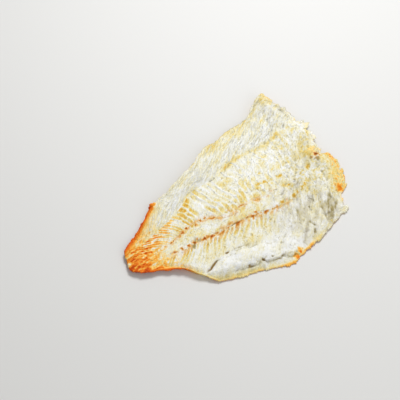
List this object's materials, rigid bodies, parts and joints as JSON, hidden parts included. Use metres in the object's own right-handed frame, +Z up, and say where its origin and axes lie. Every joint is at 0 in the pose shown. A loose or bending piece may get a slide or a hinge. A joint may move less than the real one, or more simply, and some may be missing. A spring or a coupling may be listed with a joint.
{
  "type": "roasted cod snack",
  "caption": "Dried and roasted cod fillet, opened flat into a fan shape, with a puffed lobe and flap, flaky ridges, a broken head end and a browned tail; eaten by hand.",
  "frame": {"origin": "middle of the patch of table that the fillet covers, on the table's surface", "axes": "+X along the backbone line from the tail to the head end, +Y to the left of it seen from above, +Z up out of the cut side"},
  "size_m": [0.2042, 0.1496, 0.0116],
  "materials": {
    "roasted_flesh": "matte"
  },
  "bodies": {
    "root": {"fillet": "roasted_flesh"}
  },
  "joints": []
}
